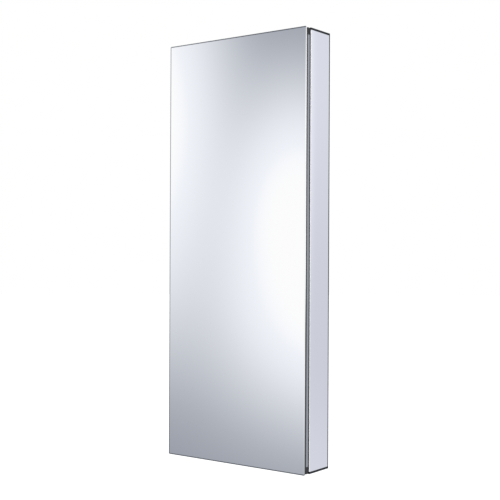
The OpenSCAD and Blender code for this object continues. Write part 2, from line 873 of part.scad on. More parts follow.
// Section of a frame member: a box with a groove at its outer front corner,
// a flange against the tape and a seat for the inside mirror. u = 0 is the outer edge, v = 0 the front.
module frame_section(box_w) {
    difference() {
        union() {
            rect(0, box_w, 0, frame_d);
            rect(0, box_w + seat_w, 0, frame_wall);
            rect(0, box_w + seat_w, seat_front - frame_wall, seat_front);
        }
        rect(-cut, groove_w, -cut, groove_d);
        rect(groove_w + frame_wall, box_w - frame_wall, frame_wall, frame_d - frame_wall);
        rect(frame_wall, groove_w + 2 * frame_wall, groove_d + frame_wall, frame_d - frame_wall);
    }
}

// The left stile, full height between the corner connectors.
module stile_shape() {
    difference() {
        translate([-frame_half_w, frame_front_y, 0])
            along_z(-stile_half_h, stile_half_h) frame_section(stile_box_w);
        connector_screw_places(true) flush_hole(small_screw_r, 3 * frame_wall, frame_wall * 0.8);
    }
}

module door_stile_left() {
    color(satin_aluminium)
        difference() {
            stile_shape();
            cup_pockets();
            cup_screw_places()
                translate([0, 0, -flange_t - 2 * frame_wall])
                    cylinder(r = small_screw_r, h = 3 * frame_wall);
        }
}

module door_stile_right() {
    color(satin_aluminium) mirror([1, 0, 0]) stile_shape();
}

// The top rail, between the corner connectors.
module rail_shape() {
    difference() {
        translate([0, frame_front_y, frame_half_h])
            along_x(-rail_half_w, rail_half_w) lying() frame_section(rail_box_w);
        connector_screw_places(false) flush_hole(small_screw_r, 3 * frame_wall, frame_wall * 0.8);
    }
}

module door_rail_top() {
    color(satin_aluminium) rail_shape();
}

module door_rail_bottom() {
    color(satin_aluminium) mirror([0, 0, 1]) rail_shape();
}

// The solid corner between a stile and a rail, with a plug into each.
module connector_shape() {
    plug_gap = fit_gap;
    y0 = frame_front_y + frame_wall + plug_gap;
    y1 = frame_rear_y - frame_wall - plug_gap;
    u0 = groove_w + frame_wall + plug_gap;
    difference() {
        union() {
            translate([-frame_half_w, 0, frame_half_h]) {
                along_z(-rail_w, 0) rect(0, stile_w, frame_front_y, frame_rear_y);
                along_z(-rail_w - plug_len, -rail_w) rect(u0, stile_box_w - frame_wall - plug_gap, y0, y1);
                along_x(stile_w, stile_w + plug_len)
                    rect(y0, y1, -(rail_box_w - frame_wall - plug_gap), -u0);
            }
        }
        translate([-frame_half_w, 0, frame_half_h]) {
            along_z(-rail_w - cut, cut) rect(-cut, groove_w, frame_front_y - cut, frame_front_y + groove_d);
            along_x(-cut, stile_w + cut)
                rect(frame_front_y - cut, frame_front_y + groove_d, -groove_w, cut);
            along_y(frame_front_y + seat_front, frame_rear_y + cut)
                rect(stile_box_w, stile_w + cut, -rail_w - cut, -rail_box_w);
            along_y(frame_front_y + frame_wall, frame_front_y + seat_front - frame_wall)
                rect(stile_box_w, stile_w + cut, -rail_w - cut, -rail_box_w);
        }
        connector_screw_places(true)
            translate([0, 0, -plug_hole_reach]) cylinder(r = small_screw_r, h = plug_hole_reach + cut);
        connector_screw_places(false)
            translate([0, 0, -plug_hole_reach]) cylinder(r = small_screw_r, h = plug_hole_reach + cut);
    }
}

module corner_connector(right, bottom) {
    color(black_plastic)
        mirror([right ? 1 : 0, 0, 0]) mirror([0, 0, bottom ? 1 : 0]) connector_shape();
}

module corner_connector_top_left() { corner_connector(false, false); }
module corner_connector_top_right() { corner_connector(true, false); }
module corner_connector_bottom_left() { corner_connector(false, true); }
module corner_connector_bottom_right() { corner_connector(true, true); }

// Screws from the rear into the plugs: in the left stile and its mirror at both ends, or in the top rail.
module connector_screw_places(in_stile) {
    for (s = [-1, 1])
        if (in_stile)
            translate([-frame_half_w + stile_box_w / 2, frame_rear_y, s * (stile_half_h - plug_len / 2)])
                rotate([-90, 0, 0]) children();
        else
            translate([s * (rail_half_w - plug_len / 2), frame_rear_y,
                       frame_half_h - (groove_w + rail_box_w) / 2])
                rotate([-90, 0, 0]) children();
}

module connector_screws() {
    len = frame_wall + frame_screw_reach - 2 * fit_gap;
    color(nickel) {
        both_sides() connector_screw_places(true) flush_screw(small_screw_r, len, frame_wall * 0.8);
        both_ends() connector_screw_places(false) flush_screw(small_screw_r, len, frame_wall * 0.8);
    }
}

// The mirror on the inside of the door, on the seats of the frame.
module rear_mirror() {
    color(mirror_silver)
        translate([0, frame_rear_y, 0]) rotate([0, 0, 180])
            pane(2 * rear_mirror_half_w, 2 * rear_mirror_half_h, rear_mirror_t, arris / 2);
}

// Four strips of gasket between the inside mirror and the frame.
module rear_mirror_gasket() {
    color(black_foam)
        edge_strips(rear_mirror_half_w + gasket_w, rear_mirror_half_h + gasket_w, gasket_w,
                    frame_rear_y - rear_mirror_t, frame_rear_y - fit_gap);
}

side_wall_left();
side_wall_right();
top_panel();
bottom_panel();
back_panel();
back_mirror();
side_mirror_left();
side_mirror_right();
side_trim_left();
side_trim_right();
corner_bracket_top_left();
corner_bracket_top_right();
corner_bracket_bottom_left();
corner_bracket_bottom_right();
bracket_screws();
back_rivets();
glass_shelf_1();
glass_shelf_2();
glass_shelf_3();
glass_shelf_4();
shelf_pins();
door_bumpers();
hinge_plate_upper();
hinge_plate_middle();
hinge_plate_lower();
hinge_arm_upper();
hinge_arm_middle();
hinge_arm_lower();
hinge_cover_upper();
hinge_cover_middle();
hinge_cover_lower();
hinge_plate_screws();
hinge_arm_screws();
door_mirror();
bond_tape();
edge_seal();
door_stile_left();
door_stile_right();
door_rail_top();
door_rail_bottom();
corner_connector_top_left();
corner_connector_top_right();
corner_connector_bottom_left();
corner_connector_bottom_right();
connector_screws();
rear_mirror();
rear_mirror_gasket();
hinge_cup_upper();
hinge_cup_middle();
hinge_cup_lower();
hinge_pins();
hinge_springs();
hinge_cup_screws();
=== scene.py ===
"""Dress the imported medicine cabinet: its finishes, its fine pieces, the studio and the camera.

The cabinet hangs with its back at y = 0 and its door towards -Y. +Z is up, every length is in
metres, and each sub-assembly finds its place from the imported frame.
"""

from __future__ import annotations

import json
import logging
import math
from dataclasses import dataclass
from enum import Enum
from typing import Iterable, Mapping, Sequence, Union

import bmesh
import bpy
from mathutils import Matrix, Vector

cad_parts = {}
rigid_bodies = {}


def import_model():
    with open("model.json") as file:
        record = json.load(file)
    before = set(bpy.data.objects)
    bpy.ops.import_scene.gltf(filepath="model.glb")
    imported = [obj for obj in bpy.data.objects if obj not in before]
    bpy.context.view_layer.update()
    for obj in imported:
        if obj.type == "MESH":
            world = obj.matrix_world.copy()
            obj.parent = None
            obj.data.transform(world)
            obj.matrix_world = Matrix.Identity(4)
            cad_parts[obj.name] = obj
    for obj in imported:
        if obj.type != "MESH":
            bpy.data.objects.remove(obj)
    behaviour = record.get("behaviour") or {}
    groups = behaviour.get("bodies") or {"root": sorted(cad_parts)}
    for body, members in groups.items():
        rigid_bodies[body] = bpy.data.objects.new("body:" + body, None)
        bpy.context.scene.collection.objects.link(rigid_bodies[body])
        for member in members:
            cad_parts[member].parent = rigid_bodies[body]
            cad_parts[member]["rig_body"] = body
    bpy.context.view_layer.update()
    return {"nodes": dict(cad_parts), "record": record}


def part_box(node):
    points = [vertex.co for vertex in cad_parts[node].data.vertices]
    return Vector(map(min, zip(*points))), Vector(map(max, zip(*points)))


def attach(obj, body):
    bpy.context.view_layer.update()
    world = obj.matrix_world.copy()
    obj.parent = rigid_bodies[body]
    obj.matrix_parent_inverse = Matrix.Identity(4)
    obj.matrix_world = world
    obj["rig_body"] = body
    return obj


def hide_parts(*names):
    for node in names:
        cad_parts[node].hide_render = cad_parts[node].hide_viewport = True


LOG = logging.getLogger("cabinet")
MM = 0.001
QUARTER_TURN = math.pi / 2

# Further away than any piece reaches, and the distance within which two places are the same.
FAR = 10.0
TOUCH = 1e-6

# The cosines above which an edge runs along an axis, and a face looks along it.
PARALLEL = 0.99
FACING = 0.9

# How finely the pattern of drawn metal is divided along it, against 1 across it.
DRAWN = 0.02

# The colour sockets of a Mix node, whose names repeat for its other types of data.
MIX_FIRST = 6
MIX_SECOND = 7
MIX_RESULT = 2

Triple = tuple[float, float, float]
Colour = Triple
Span = tuple[float, float]
Operand = Union["Signal", float]
Tint = Union["Signal", Colour]
Nodes = Mapping[str, bpy.types.Object]

UP: Triple = (0.0, 0.0, 1.0)
WHITE: Colour = (1.0, 1.0, 1.0)


class Body(Enum):
    """The bodies that pieces ride on."""

    CASE = "case"
    DOOR = "door"


class Slot(Enum):
    """The material slots of the record."""

    MIRROR = "mirror_glass"
    GLASS = "clear_glass"
    SATIN = "satin_aluminium"
    TRIM = "dark_trim"
    STEEL = "nickel_steel"
    PLASTIC = "black_plastic"
    FOAM = "black_foam"
    SILICONE = "clear_silicone"


class Grain(Enum):
    """The direction in which metal was drawn or brushed, as a stretch of its pattern."""

    ALONG_X = (DRAWN, 1.0, 1.0)
    ALONG_Z = (1.0, 1.0, DRAWN)


class Facing(Enum):
    """The outward direction of a mirror's face."""

    FRONT = (0.0, -1.0, 0.0)
    REAR = (0.0, 1.0, 0.0)
    LEFT = (-1.0, 0.0, 0.0)
    RIGHT = (1.0, 0.0, 0.0)


class Signal:
    """An output socket of a shader node that takes part in arithmetic."""

    def __init__(self, graph: Graph, socket: bpy.types.NodeSocket) -> None:
        """Keep the socket, and the graph that new nodes go into."""
        self.graph = graph
        self.socket = socket

    def _math(self, operation: str, first: Operand, second: Operand = 0.0) -> Signal:
        """Return a Math node's output for one or two operands."""
        return self.graph.add("ShaderNodeMath", {"operation": operation}, {0: first, 1: second})

    def __add__(self, other: Operand) -> Signal:
        """Return self + other."""
        return self._math("ADD", self, other)

    def __radd__(self, other: float) -> Signal:
        """Return other + self."""
        return self._math("ADD", other, self)

    def __sub__(self, other: Operand) -> Signal:
        """Return self - other."""
        return self._math("SUBTRACT", self, other)

    def __rsub__(self, other: float) -> Signal:
        """Return other - self."""
        return self._math("SUBTRACT", other, self)

    def __mul__(self, other: Operand) -> Signal:
        """Return self * other."""
        return self._math("MULTIPLY", self, other)

    def __rmul__(self, other: float) -> Signal:
        """Return other * self."""
        return self._math("MULTIPLY", other, self)

    def __truediv__(self, other: Operand) -> Signal:
        """Return self / other."""
        return self._math("DIVIDE", self, other)

    def __pow__(self, other: Operand) -> Signal:
        """Return self to the power of other."""
        return self._math("POWER", self, other)

    def __gt__(self, other: Operand) -> Signal:
        """Return 1 where self is more than other, and 0 elsewhere."""
        return self._math("GREATER_THAN", self, other)

    def exp(self) -> Signal:
        """Return e to the power of self."""
        return self._math("EXPONENT", self)

    def root(self) -> Signal:
        """Return the square root of self."""
        return self._math("SQRT", self)

    def bearing(self, ahead: Signal) -> Signal:
        """Return the angle, in degrees, between ahead and the vector with self at its side."""
        return self._math("ARCTAN2", self, ahead) * math.degrees(1.0)

    def either(self, other: Signal) -> Signal:
        """Return the larger of self and other."""
        return self._math("MAXIMUM", self, other)


class Graph:
    """The node tree of one material or world."""

    def __init__(self, owner: Union[bpy.types.Material, bpy.types.World]) -> None:
        """Take the owner's node tree and empty it.

        Args:
            owner: the material or the world.
        """
        owner.use_nodes = True
        self.tree = owner.node_tree
        self.tree.nodes.clear()

    def add(self, kind: str, settings: Mapping[str, object],
            inputs: Mapping[Union[int, str], object], output: Union[int, str] = 0) -> Signal:
        """Add a node.

        Args:
            kind: the node's type.
            settings: its properties, which are set first.
            inputs: a value or a Signal for each socket, by name or by place.
            output: the output that is wanted.

        Returns:
            That output.
        """
        node = self.tree.nodes.new(kind)
        for name, value in settings.items():
            setattr(node, name, value)
        for key, value in inputs.items():
            if isinstance(value, Signal):
                self.tree.links.new(value.socket, node.inputs[key])
            else:
                node.inputs[key].default_value = value
        return Signal(self, node.outputs[output])

    def finish(self, kind: str, shader: Signal) -> None:
        """Connect a shader to a new output node."""
        node = self.tree.nodes.new(kind)
        self.tree.links.new(shader.socket, node.inputs["Surface"])

    def place(self) -> Signal:
        """Return the point's place on the object."""
        return self.add("ShaderNodeTexCoord", {}, {}, "Object")

    def normal(self) -> Signal:
        """Return the surface's direction on the object."""
        return self.add("ShaderNodeTexCoord", {}, {}, "Normal")

    def dot(self, vector: Signal, direction: Sequence[float]) -> Signal:
        """Return the dot product of a vector with a fixed one."""
        return self.add("ShaderNodeVectorMath", {"operation": "DOT_PRODUCT"},
                        {0: vector, 1: tuple(direction)}, "Value")

    def stretched(self, scale: Sequence[float]) -> Signal:
        """Return the point's place, scaled along each axis."""
        return self.add("ShaderNodeVectorMath", {"operation": "MULTIPLY"},
                        {0: self.place(), 1: tuple(scale)})

    def noise(self, scale: float, vector: Signal | None = None, detail: float = 2.0) -> Signal:
        """Return soft noise between 0 and 1, with scale features in a metre."""
        return self.add("ShaderNodeTexNoise", {},
                        {"Vector": vector or self.place(), "Scale": scale, "Detail": detail})

    def cells(self, scale: float) -> Signal:
        """Return the distance from the middle of the nearest cell, with scale cells in a metre."""
        return self.add("ShaderNodeTexVoronoi", {}, {"Vector": self.place(), "Scale": scale})

    def step(self, value: Operand, low: float, high: float) -> Signal:
        """Return a smooth step from 0 to 1 as value goes from low to high."""
        return self.add("ShaderNodeMapRange", {"interpolation_type": "SMOOTHSTEP"},
                        {"Value": value, "From Min": low, "From Max": high})

    def mix(self, share: Operand, first: Tint, second: Tint) -> Signal:
        """Blend two colours.

        Args:
            share: how much of the second one there is, from 0 to 1.
            first: the first colour.
            second: the second colour.

        Returns:
            The blend.
        """
        ends = [end if isinstance(end, Signal) else (*end, 1.0) for end in (first, second)]
        return self.add("ShaderNodeMix", {"data_type": "RGBA"},
                        {0: share, MIX_FIRST: ends[0], MIX_SECOND: ends[1]}, MIX_RESULT)

    def bump(self, height: Signal, distance: float) -> Signal:
        """Return the normal of a relief that is distance deep."""
        return self.add("ShaderNodeBump", {}, {"Height": height, "Distance": distance})

    def ray(self, kind: str) -> Signal:
        """Return what the Light Path node says of a ray, such as Is Camera Ray."""
        return self.add("ShaderNodeLightPath", {}, {}, kind)


class Finish:
    """A finish that gives each socket of its shader a value or a pattern."""

    def title(self) -> str:
        """Return the material's name."""
        raise NotImplementedError

    def sockets(self, graph: Graph) -> dict[str, object]:
        """Return the shader's sockets by name."""
        raise NotImplementedError

    def material(self) -> bpy.types.Material:
        """Make the material, or find the one that was made before.

        Returns:
            The material.
        """
        known = bpy.data.materials.get(self.title())
        if known:
            return known
        material = bpy.data.materials.new(self.title())
        graph = Graph(material)
        inputs = {key: (*value, 1.0) if isinstance(value, tuple) else value
                  for key, value in self.sockets(graph).items()}
        graph.finish("ShaderNodeOutputMaterial", graph.add("ShaderNodeBsdfPrincipled", {}, inputs))
        return material


def shade(colour: Colour, share: float) -> Colour:
    """Return a colour times a share."""
    return (colour[0] * share, colour[1] * share, colour[2] * share)


@dataclass(frozen=True)
class MirrorGlass(Finish):
    """Silvered float glass: a mirror in front, pale ground glass at the edge, dark paint behind.

    Past rim_shade_left and rim_shade_height the face is painted a grey rim, which is painted shade
    for the border of the glass seen darker, and the edge has painted shade that darkens it from
    edge_shade_high down to edge_shade_low. An arris that isn't polished is ground: it has its own
    colour where it stands upright and the edge's where it lies level. Each cosine is that of the
    widest angle at which a surface still counts as what the value is named for.
    """

    name: str
    facing: Facing
    silver: Colour = (0.97, 0.97, 0.97)
    edge: Colour = (0.97, 0.985, 0.98)
    # Painted shade: the colour that the edge darkens to towards its foot.
    edge_shade_colour: Colour = (0.22, 0.225, 0.23)
    paint: Colour = (0.05, 0.052, 0.055)
    # Painted shade: the grey of the band round the face, which stands for the border of the glass
    # seen darker.
    rim: Colour = (0.34, 0.345, 0.35)
    ground: Colour = (0.97, 0.98, 1.0)
    polished_arris: bool = True
    # Painted shade: past these the face takes the rim's grey, to the left and above and below.
    rim_shade_left: float = FAR
    rim_shade_height: float = FAR
    # Painted shade on the edge: where it begins, going down, and where it is full.
    edge_shade_high: float = -FAR
    edge_shade_low: float = -FAR - 1.0
    face_cosine: float = 0.9
    arris_cosine: float = 0.4
    back_cosine: float = 0.6
    level_cosine: float = 0.5
    face_roughness: float = 0.01
    edge_roughness: float = 0.22
    paint_roughness: float = 0.55
    grind_scale: float = 2500.0
    grind_depth: float = 0.1

    def title(self) -> str:
        """Return the material's name."""
        return self.name

    def sockets(self, graph: Graph) -> dict[str, object]:
        """Tell the face with its arris, the edge and the back apart by the surface's direction.

        Args:
            graph: the material's graph.

        Returns:
            The shader's sockets by name.
        """
        normal = graph.normal()
        towards = graph.dot(normal, self.facing.value)
        level = graph.dot(normal, UP)
        front = towards > self.arris_cosine
        face = front if self.polished_arris else towards > self.face_cosine
        back = (towards * -1.0) > self.back_cosine
        grind = graph.noise(self.grind_scale)
        place = graph.place()
        up = graph.dot(place, UP)
        left = graph.dot(place, Facing.LEFT.value)
        # Painted shade: a grey band round the face past the left and height limits.
        painted_rim_band = (left > self.rim_shade_left).either(up * up > self.rim_shade_height ** 2)
        face_colour = graph.mix(painted_rim_band, self.silver, self.rim)
        # Painted shade: the edge darkens towards its foot.
        edge = graph.mix(graph.step(up, self.edge_shade_low, self.edge_shade_high), self.edge_shade_colour, self.edge)
        upright = 1.0 - (level * level > self.level_cosine ** 2)
        edge_colour = graph.mix(front * upright, edge, self.ground)
        rest_colour = graph.mix(back, edge_colour, self.paint)
        return {"Base Color": graph.mix(face, rest_colour, face_colour),
                "Metallic": face,
                "Roughness": face * (self.face_roughness - self.edge_roughness)
                + back * (self.paint_roughness - self.edge_roughness)
                + (self.edge_roughness + (1.0 - face) * grind * self.grind_depth)}


@dataclass(frozen=True)
class SatinMetal(Finish):
    """Drawn metal with a fine grain along it and faint clouds in its sheen."""

    name: str
    colour: Colour
    grain: Grain
    roughness: float = 0.32
    relief: float = 0.004 * MM
    line_scale: float = 2600.0
    cloud_scale: float = 14.0
    detail: float = 3.0
    line_span: Span = (0.3, 0.7)
    line_shade: float = 0.88
    line_dulling: float = 0.08
    cloud_dulling: float = 0.05
    mean_dulling: float = 0.06

    def title(self) -> str:
        """Return the material's name."""
        return f"{self.name}_{self.grain.name.lower()}"

    def sockets(self, graph: Graph) -> dict[str, object]:
        """Draw the grain with noise that is stretched along the metal.

        Args:
            graph: the material's graph.

        Returns:
            The shader's sockets by name.
        """
        lines = graph.noise(self.line_scale, graph.stretched(self.grain.value), self.detail)
        clouds = graph.noise(self.cloud_scale, detail=self.detail)
        groove = shade(self.colour, self.line_shade)
        return {"Base Color": graph.mix(graph.step(lines, *self.line_span), groove, self.colour),
                "Metallic": 1.0,
                "Roughness": lines * self.line_dulling + clouds * self.cloud_dulling
                + (self.roughness - self.mean_dulling),
                "Normal": graph.bump(lines, self.relief)}


@dataclass(frozen=True)
class NickelPlate(Finish):
    """Stamped steel under bright nickel: a warm grey with soft ripples and some dull patches."""

    colour: Colour = (0.66, 0.64, 0.61)
    roughness: float = 0.2
    relief: float = 0.02 * MM
    patch_scale: float = 60.0
    patch_detail: float = 4.0
    patch_shade: float = 0.82
    patch_dulling: float = 0.16
    shaded_span: Span = (0.4, 0.75)
    dulled_span: Span = (0.35, 0.8)
    ripple_scale: float = 180.0

    def title(self) -> str:
        """Return the material's name."""
        return "nickel_plate"

    def sockets(self, graph: Graph) -> dict[str, object]:
        """Lay thin dull patches over the ripples of the stamping.

        Args:
            graph: the material's graph.

        Returns:
            The shader's sockets by name.
        """
        patches = graph.noise(self.patch_scale, detail=self.patch_detail)
        dull = shade(self.colour, self.patch_shade)
        return {"Base Color": graph.mix(graph.step(patches, *self.shaded_span), self.colour, dull),
                "Metallic": 1.0,
                "Roughness": graph.step(patches, *self.dulled_span) * self.patch_dulling
                + self.roughness,
                "Normal": graph.bump(graph.noise(self.ripple_scale), self.relief)}


@dataclass(frozen=True)
class MouldedPlastic(Finish):
    """Black moulded plastic with a fine pebbled grain."""

    colour: Colour = (0.022, 0.022, 0.024)
    roughness: float = 0.46
    relief: float = 0.03 * MM
    cloud_scale: float = 40.0
    cloud_shade: float = 1.4
    cloud_dulling: float = 0.1
    pebble_scale: float = 2200.0

    def title(self) -> str:
        """Return the material's name."""
        return "moulded_plastic"

    def sockets(self, graph: Graph) -> dict[str, object]:
        """Draw the pebbles as cells and vary the sheen a little.

        Args:
            graph: the material's graph.

        Returns:
            The shader's sockets by name.
        """
        clouds = graph.noise(self.cloud_scale)
        return {"Base Color": graph.mix(clouds, self.colour, shade(self.colour, self.cloud_shade)),
                "Roughness": clouds * self.cloud_dulling + self.roughness,
                "Normal": graph.bump(graph.cells(self.pebble_scale), self.relief)}


@dataclass(frozen=True)
class CellFoam(Finish):
    """Black closed-cell foam of the bond tape, the edge seal and the gasket."""

    # The edge seal's black stands in for the shade in the groove behind the front mirror.
    colour: Colour = (0.018, 0.018, 0.019)
    roughness: float = 0.9
    relief: float = 0.08 * MM
    cell_scale: float = 3000.0
    cell_span: Span = (0.1, 0.5)
    cell_shade: float = 0.4

    def title(self) -> str:
        """Return the material's name."""
        return "cell_foam"

    def sockets(self, graph: Graph) -> dict[str, object]:
        """Draw the cut cells with a darker middle.

        Args:
            graph: the material's graph.

        Returns:
            The shader's sockets by name.
        """
        cells = graph.cells(self.cell_scale)
        middle = shade(self.colour, self.cell_shade)
        return {"Base Color": graph.mix(graph.step(cells, *self.cell_span), middle, self.colour),
                "Roughness": self.roughness,
                "Normal": graph.bump(cells, self.relief)}


@dataclass(frozen=True)
class ShelfGlass(Finish):
    """Clear float glass whose polished edges show its green body."""

    face: Colour = (0.97, 0.985, 0.98)
    edge: Colour = (0.76, 0.93, 0.87)
    face_span: Span = (0.5, 0.95)
    roughness: float = 0.01
    haze_scale: float = 30.0
    haze: float = 0.02
    refraction: float = 1.52

    def title(self) -> str:
        """Return the material's name."""
        return "shelf_glass"

    def sockets(self, graph: Graph) -> dict[str, object]:
        """Keep the level faces clear and let the colour grow towards the edge.

        Args:
            graph: the material's graph.

        Returns:
            The shader's sockets by name.
        """
        level = graph.dot(graph.normal(), UP)
        flat = graph.step(level * level, *self.face_span)
        return {"Base Color": graph.mix(flat, self.edge, self.face),
                "Roughness": graph.noise(self.haze_scale) * self.haze + self.roughness,
                "Transmission Weight": 1.0,
                "IOR": self.refraction}


@dataclass(frozen=True)
class ClearSilicone(Finish):
    """Soft clear dots with a slightly cloudy body."""

    colour: Colour = (0.86, 0.88, 0.89)
    roughness: float = 0.22
    cloud_scale: float = 400.0
    cloud_shade: float = 0.9
    cloud_dulling: float = 0.1
    clearness: float = 0.5
    refraction: float = 1.41

    def title(self) -> str:
        """Return the material's name."""
        return "clear_silicone"

    def sockets(self, graph: Graph) -> dict[str, object]:
        """Cloud the body a little.

        Args:
            graph: the material's graph.

        Returns:
            The shader's sockets by name.
        """
        cloud = graph.noise(self.cloud_scale)
        return {"Base Color": graph.mix(cloud, shade(self.colour, self.cloud_shade), self.colour),
                "Roughness": cloud * self.cloud_dulling + self.roughness,
                "Transmission Weight": self.clearness,
                "IOR": self.refraction}


ALUMINIUM: Colour = (0.53, 0.54, 0.555)
DARK_ANODISED: Colour = (0.055, 0.058, 0.063)
DARK_ROUGHNESS = 0.4


def satin(grain: Grain) -> Finish:
    """Return satin anodised aluminium."""
    return SatinMetal("satin_aluminium", ALUMINIUM, grain)


def dark_anodised(grain: Grain) -> Finish:
    """Return dark anodised aluminium."""
    return SatinMetal("dark_anodised", DARK_ANODISED, grain, roughness=DARK_ROUGHNESS)


def block(low: Vector, high: Vector) -> bmesh.types.BMesh:
    """Make a box from corner to corner.

    Args:
        low: its lowest corner.
        high: its highest corner.

    Returns:
        The box.
    """
    bm = bmesh.new()
    bmesh.ops.create_cube(bm, size=1.0)
    bmesh.ops.scale(bm, vec=high - low, verts=bm.verts)
    bmesh.ops.translate(bm, vec=(low + high) / 2, verts=bm.verts)
    bm.normal_update()
    return bm


def bevel(bm: bmesh.types.BMesh, edges: Iterable[bmesh.types.BMEdge], width: float,
          segments: int = 1) -> None:
    """Bevel edges, flat with one segment and round with more.

    Args:
        bm: the mesh.
        edges: its edges that are bevelled.
        width: how far the bevel reaches from each edge.
        segments: the facets across the bevel.
    """
    bmesh.ops.bevel(bm, geom=list(edges), offset=width, offset_type="OFFSET", affect="EDGES",
                    segments=segments, profile=0.5, material=-1, clamp_overlap=True)
    bm.normal_update()


def edges_along(bm: bmesh.types.BMesh, axis: Sequence[float]) -> list[bmesh.types.BMEdge]:
    """Return the edges that run along an axis."""
    return [edge for edge in bm.edges
            if abs((edge.verts[0].co - edge.verts[1].co).normalized().dot(Vector(axis))) > PARALLEL]


def sharp_edges(bm: bmesh.types.BMesh, least_deg: float = 30.0) -> list[bmesh.types.BMEdge]:
    """Return the edges whose faces meet at an angle."""
    return [edge for edge in bm.edges
            if edge.is_manifold and edge.calc_face_angle() > math.radians(least_deg)]


def join(target: bmesh.types.BMesh, other: bmesh.types.BMesh) -> None:
    """Add another bmesh to the target.

    Args:
        target: the mesh that grows.
        other: the mesh that is added, which is freed.
    """
    mesh = bpy.data.meshes.new("joined")
    other.to_mesh(mesh)
    other.free()
    target.from_mesh(mesh)
    bpy.data.meshes.remove(mesh)


@dataclass
class Workshop:
    """Cuts panes, rounds edges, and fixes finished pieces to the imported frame's bodies.

    A copy of a node has its points welded within weld, and its faces joined up to flat_deg. Edges
    past sharp_deg are rounded or broken, and a pane's corners are rounder than its arris is wide
    by corner_excess.
    """

    nodes: Nodes
    slots: Mapping[str, str]
    weld: float = 0.002 * MM
    flat_deg: float = 0.5
    sharp_deg: float = 35.0
    rounding_facets: int = 2
    corner_excess: float = 0.8 * MM
    corner_facets: int = 3
    edge_break: float = 0.12 * MM
    break_facets: int = 2

    def make(self, bm: bmesh.types.BMesh, name: str, smooth_deg: float = 30.0) -> bpy.types.Object:
        """Turn a bmesh into an object.

        Args:
            bm: the mesh, which is freed.
            name: the object's name.
            smooth_deg: the angle up to which edges are smooth, or 0 for flat faces.

        Returns:
            The object, with its place in its mesh.
        """
        mesh = bpy.data.meshes.new(name)
        bm.to_mesh(mesh)
        bm.free()
        if smooth_deg:
            mesh.shade_smooth()
            mesh.set_sharp_from_angle(angle=math.radians(smooth_deg))
        piece = bpy.data.objects.new(name, mesh)
        bpy.context.scene.collection.objects.link(piece)
        return piece

    def even(self, piece: bpy.types.Object) -> bpy.types.Object:
        """Keep the shading of large flat faces flat beside round edges.

        Args:
            piece: the object.

        Returns:
            The same object.
        """
        modifier = piece.modifiers.new("even_faces", "WEIGHTED_NORMAL")
        modifier.keep_sharp = True
        return piece

    def fit(self, piece: bpy.types.Object, finish: Finish, node: str) -> bpy.types.Object:
        """Dress a piece and stand it in for a node of the frame.

        Args:
            piece: the object, in place.
            finish: its finish.
            node: the node that it stands for, whose body it rides on.

        Returns:
            The piece.
        """
        body = Body(self.nodes[node]["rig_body"])
        piece.data.materials.clear()
        piece.data.materials.append(finish.material())
        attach(piece, body.value)
        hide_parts(node)
        LOG.info("%s rides on %s: %s, %d faces",
                 piece.name, body.value, finish.title(), len(piece.data.polygons))
        return piece

    def dressed(self, node: str, finish: Finish, rounding: float = 0.0) -> bpy.types.Object:
        """Stand in for a node with a copy that has smooth curves and rounded edges.

        Args:
            node: the frame's node.
            finish: its finish.
            rounding: the width of the rounding on its sharp edges, or 0 for none.

        Returns:
            The piece.
        """
        bm = bmesh.new()
        bm.from_mesh(self.nodes[node].data)
        bmesh.ops.remove_doubles(bm, verts=bm.verts, dist=self.weld)
        bmesh.ops.dissolve_limit(bm, angle_limit=math.radians(self.flat_deg), verts=bm.verts,
                                 edges=bm.edges)
        piece = self.make(bm, f"{node}_piece")
        if rounding:
            modifier = piece.modifiers.new("rounded_edges", "BEVEL")
            modifier.width = rounding
            modifier.segments = self.rounding_facets
            modifier.limit_method = "ANGLE"
            modifier.angle_limit = math.radians(self.sharp_deg)
        return self.fit(self.even(piece), finish, node)

    def pane(self, node: str, finish: MirrorGlass, arris: float) -> bpy.types.Object:
        """Cut one sheet of mirror, with ground corners and an arris round its face.

        The corners are rounder than the arris is wide, so that the arris has round corners on its
        inner side too.

        Args:
            node: the node that it stands for.
            finish: its finish, which says where it faces.
            arris: the width of the arris.

        Returns:
            The sheet.
        """
        towards = Vector(finish.facing.value)
        bm = block(*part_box(node))
        bevel(bm, edges_along(bm, towards), arris + self.corner_excess, self.corner_facets)
        face = max(bm.faces, key=lambda item: item.normal.dot(towards))
        bevel(bm, face.edges, arris)
        bevel(bm, sharp_edges(bm, self.sharp_deg), self.edge_break, self.break_facets)
        return self.fit(self.make(bm, f"{node}_pane", smooth_deg=0.0), finish, node)


